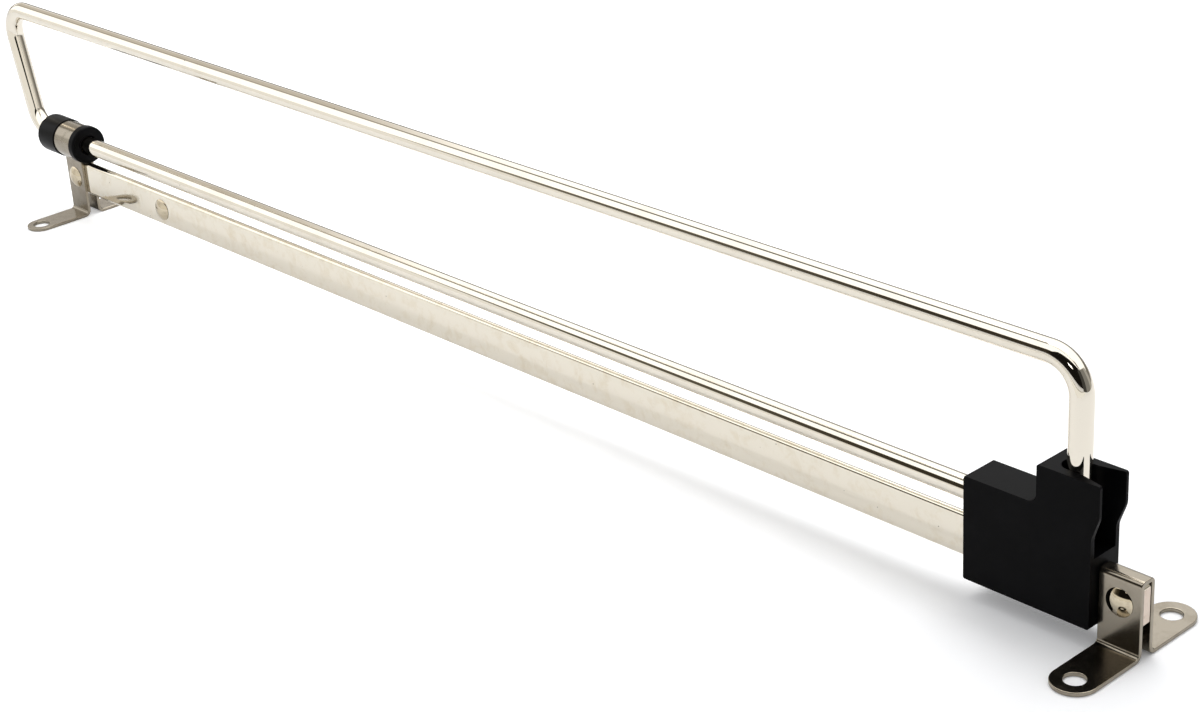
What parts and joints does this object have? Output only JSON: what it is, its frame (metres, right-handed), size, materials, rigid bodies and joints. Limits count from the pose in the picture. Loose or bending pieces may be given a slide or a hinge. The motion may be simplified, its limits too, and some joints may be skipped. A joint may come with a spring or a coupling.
{
  "type": "pull-out clothes rail",
  "caption": "Bent wire loop that slides lengthwise on a flat bar, guided by a plastic block and a collared bush, with folded strip brackets that screw to the underside of a shelf.",
  "frame": {"origin": "middle of the four fixing holes, in the mounting plane under the feet", "axes": "+X along the rail, towards the end that the loop pulls out of; +Z from the mounting plane to the hanging run; +Y across, so that the part is the same on both sides of Y = 0. In use the part hangs under a shelf with +Z down"},
  "size_m": [0.4887, 0.05, 0.0733],
  "materials": {
    "bar_nickel": "satin nickel plate on rolled flat steel",
    "strip_nickel": "nickel plate on stamped strip",
    "rivet_nickel": "polished nickel",
    "wire_nickel": "bright nickel plate on drawn wire",
    "bush_plastic": "moulded black",
    "block_plastic": "moulded black, fine matt"
  },
  "bodies": {
    "fixed_rail": {"flat_bar": "bar_nickel", "rear_bracket": "strip_nickel", "rear_rivet": "rivet_nickel", "front_bracket": "strip_nickel", "front_rivet": "rivet_nickel", "bush": "bush_plastic", "stop_rivet": "rivet_nickel"},
    "sliding_loop": {"wire_loop": "wire_nickel", "slider_block": "block_plastic"}
  },
  "joints": [
    {"name": "loop_slide", "type": "slide", "parent": "fixed_rail", "child": "sliding_loop", "axis": [1, 0, 0], "range_m": [0, 0.3474]}
  ]
}
